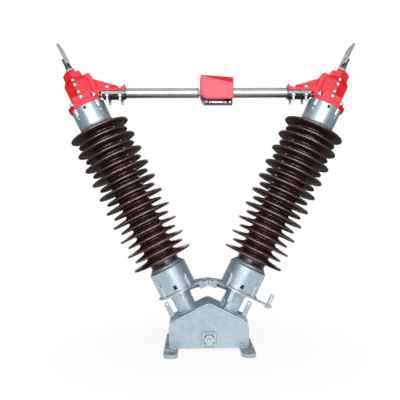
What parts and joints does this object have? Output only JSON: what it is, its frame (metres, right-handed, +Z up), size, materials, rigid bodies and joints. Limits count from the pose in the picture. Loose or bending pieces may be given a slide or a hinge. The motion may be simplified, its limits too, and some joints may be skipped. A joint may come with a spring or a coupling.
{
  "type": "substation disconnect switch",
  "caption": "V-shaped centre-break disconnect switch: leaning porcelain posts turn on a box base, coupled by bevel sectors, and swing tube blades apart at a hooded contact.",
  "frame": {"origin": "middle of the footprint, on the underside of the foot bars", "axes": "+X to the right along the line of the blades, +Y to the rear, +Z up; front is -Y"},
  "size_m": [1.1826, 0.33, 1.2009],
  "materials": {
    "galvanised_steel": "hot-dip galvanised",
    "brown_porcelain": "opaque brown glaze",
    "red_casting": "satin red paint on a light casting",
    "red_sheet": "satin red paint on sheet",
    "bright_tube": "drawn, bright",
    "clamp_alloy": "cast, bare",
    "zinc_fastener": "zinc plated",
    "dark_contact": "tarnished",
    "tinned_copper": "tin plated"
  },
  "bodies": {
    "base": {"base_front_plate": "galvanised_steel", "base_rear_plate": "galvanised_steel", "base_left_side": "galvanised_steel", "base_right_side": "galvanised_steel", "base_left_roof": "galvanised_steel", "base_right_roof": "galvanised_steel", "left_foot_bar": "galvanised_steel", "right_foot_bar": "galvanised_steel", "left_bearing_housing": "galvanised_steel", "right_bearing_housing": "galvanised_steel", "left_lock_bracket": "galvanised_steel", "right_lock_bracket": "galvanised_steel", "earth_terminal": "zinc_fastener", "closing_stop": "galvanised_steel"},
    "left_post": {"left_shaft": "galvanised_steel", "left_lower_flange": "galvanised_steel", "left_insulator": "brown_porcelain", "left_top_cap": "galvanised_steel", "left_gear_sector": "galvanised_steel", "left_terminal_housing": "red_casting", "left_arm_bracket": "red_casting", "left_tube_clamp": "clamp_alloy", "left_clamp_bolts": "zinc_fastener", "left_blade_tube": "bright_tube", "contact_tongue": "tinned_copper"},
    "right_post": {"right_shaft": "galvanised_steel", "right_lower_flange": "galvanised_steel", "right_insulator": "brown_porcelain", "right_top_cap": "galvanised_steel", "right_gear_sector": "galvanised_steel", "right_terminal_housing": "red_casting", "right_arm_bracket": "red_casting", "right_tube_clamp": "clamp_alloy", "right_clamp_bolts": "zinc_fastener", "right_blade_tube": "bright_tube", "operating_lever": "galvanised_steel", "lever_pin": "zinc_fastener", "stop_tab": "zinc_fastener", "finger_carrier": "dark_contact", "upper_fingers": "dark_contact", "lower_fingers": "dark_contact", "contact_hood": "red_sheet"},
    "left_terminal_body": {"left_terminal": "tinned_copper"},
    "right_terminal_body": {"right_terminal": "tinned_copper"}
  },
  "joints": [
    {"name": "right_post_turn", "type": "hinge", "parent": "base", "child": "right_post", "pos_m": [0.117, 0, 0.22], "axis": [0.4384, 0, 0.8988], "range_deg": [0, 90]},
    {"name": "left_post_turn", "type": "hinge", "parent": "base", "child": "left_post", "pos_m": [-0.117, 0, 0.22], "axis": [0.4384, 0, -0.8988], "range_deg": [0, 90]},
    {"name": "left_terminal_swivel", "type": "hinge", "parent": "left_post", "child": "left_terminal_body", "pos_m": [-0.54485, 0, 1.09722], "axis": [-0.4384, 0, 0.8988], "range_deg": [0, 90]},
    {"name": "right_terminal_swivel", "type": "hinge", "parent": "right_post", "child": "right_terminal_body", "pos_m": [0.54485, 0, 1.09722], "axis": [-0.4384, 0, -0.8988], "range_deg": [0, 90]}
  ],
  "couplings": [
    {"joint": "left_post_turn", "follows": "right_post_turn", "ratio": 1}
  ]
}
